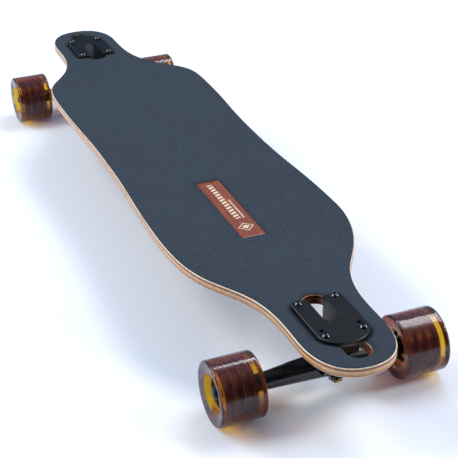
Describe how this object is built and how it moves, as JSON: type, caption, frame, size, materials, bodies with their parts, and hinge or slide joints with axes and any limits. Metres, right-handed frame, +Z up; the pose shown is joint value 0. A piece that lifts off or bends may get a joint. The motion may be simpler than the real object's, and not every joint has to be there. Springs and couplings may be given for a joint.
{
  "type": "drop-through longboard skateboard",
  "caption": "Drop-through longboard: laminated deck with narrow ends, dark grip, black trucks hung through cut-outs, wide translucent amber wheels.",
  "frame": {"origin": "on the floor, under the middle of the board", "axes": "+X along the board to its front (label) end, +Y across to the left, +Z up"},
  "size_m": [1.035, 0.2566, 0.1066],
  "materials": {
    "deck_wood": "clear satin lacquer on maple plies",
    "grip": "dark blue-grey abrasive grit",
    "label_veneer": "red-brown veneer, satin",
    "truck_black": "black powder coat over cast aluminium",
    "pivot_plastic": "moulded, matt",
    "steel": "bright zinc",
    "zinc_yellow": "yellow zinc",
    "bushing_urethane": "cast urethane, satin",
    "black_steel": "black oxide",
    "race_steel": "ground steel",
    "spacer_aluminium": "turned",
    "wheel_urethane": "translucent amber cast urethane, gloss",
    "core_plastic": "moulded, gloss",
    "shield_rubber": "moulded seal"
  },
  "bodies": {
    "board": {"deck": "deck_wood", "grip_tape": "grip", "label_inlay": "label_veneer", "front_baseplate": "truck_black", "front_pivot_cup": "pivot_plastic", "front_kingpin": "zinc_yellow", "front_kingpin_nut": "black_steel", "front_boardside_washer": "steel", "front_boardside_bushing": "bushing_urethane", "front_roadside_bushing": "bushing_urethane", "front_roadside_washer": "steel", "front_mounting_bolts": "black_steel", "front_mounting_nuts": "black_steel", "rear_baseplate": "truck_black", "rear_pivot_cup": "pivot_plastic", "rear_kingpin": "zinc_yellow", "rear_kingpin_nut": "black_steel", "rear_boardside_washer": "steel", "rear_boardside_bushing": "bushing_urethane", "rear_roadside_bushing": "bushing_urethane", "rear_roadside_washer": "steel", "rear_mounting_bolts": "black_steel", "rear_mounting_nuts": "black_steel"},
    "front_hanger_assembly": {"front_hanger": "truck_black", "front_axle": "steel", "front_speed_washers": "steel", "front_bearing_inner_races": "race_steel", "front_bearing_spacers": "spacer_aluminium", "front_axle_nuts": "black_steel"},
    "front_left_wheel": {"front_left_wheel_tyre": "wheel_urethane", "front_left_wheel_core": "core_plastic", "front_left_bearing_outer_races": "race_steel", "front_left_bearing_balls": "race_steel", "front_left_bearing_shields": "shield_rubber"},
    "front_right_wheel": {"front_right_wheel_tyre": "wheel_urethane", "front_right_wheel_core": "core_plastic", "front_right_bearing_outer_races": "race_steel", "front_right_bearing_balls": "race_steel", "front_right_bearing_shields": "shield_rubber"},
    "rear_hanger_assembly": {"rear_hanger": "truck_black", "rear_axle": "steel", "rear_speed_washers": "steel", "rear_bearing_inner_races": "race_steel", "rear_bearing_spacers": "spacer_aluminium", "rear_axle_nuts": "black_steel"},
    "rear_left_wheel": {"rear_left_wheel_tyre": "wheel_urethane", "rear_left_wheel_core": "core_plastic", "rear_left_bearing_outer_races": "race_steel", "rear_left_bearing_balls": "race_steel", "rear_left_bearing_shields": "shield_rubber"},
    "rear_right_wheel": {"rear_right_wheel_tyre": "wheel_urethane", "rear_right_wheel_core": "core_plastic", "rear_right_bearing_outer_races": "race_steel", "rear_right_bearing_balls": "race_steel", "rear_right_bearing_shields": "shield_rubber"}
  },
  "joints": [
    {"name": "front_steer", "type": "hinge", "parent": "board", "child": "front_hanger_assembly", "pos_m": [0.42699, 0, 0.05402], "axis": [0.7071, 0, 0.7071], "range_deg": [-15, 15], "stiffness_Nm_per_rad": 40, "deforming": ["front_boardside_bushing", "front_roadside_bushing"]},
    {"name": "front_left_spin", "type": "hinge", "parent": "front_hanger_assembly", "child": "front_left_wheel", "pos_m": [0.419, 0.1033, 0.035], "axis": [0, 1, 0], "continuous": true},
    {"name": "front_right_spin", "type": "hinge", "parent": "front_hanger_assembly", "child": "front_right_wheel", "pos_m": [0.419, -0.1033, 0.035], "axis": [0, 1, 0], "continuous": true},
    {"name": "rear_steer", "type": "hinge", "parent": "board", "child": "rear_hanger_assembly", "pos_m": [-0.42699, 0, 0.05402], "axis": [-0.7071, 0, 0.7071], "range_deg": [-15, 15], "stiffness_Nm_per_rad": 40, "deforming": ["rear_boardside_bushing", "rear_roadside_bushing"]},
    {"name": "rear_left_spin", "type": "hinge", "parent": "rear_hanger_assembly", "child": "rear_left_wheel", "pos_m": [-0.419, 0.1033, 0.035], "axis": [0, 1, 0], "continuous": true},
    {"name": "rear_right_spin", "type": "hinge", "parent": "rear_hanger_assembly", "child": "rear_right_wheel", "pos_m": [-0.419, -0.1033, 0.035], "axis": [0, 1, 0], "continuous": true}
  ]
}
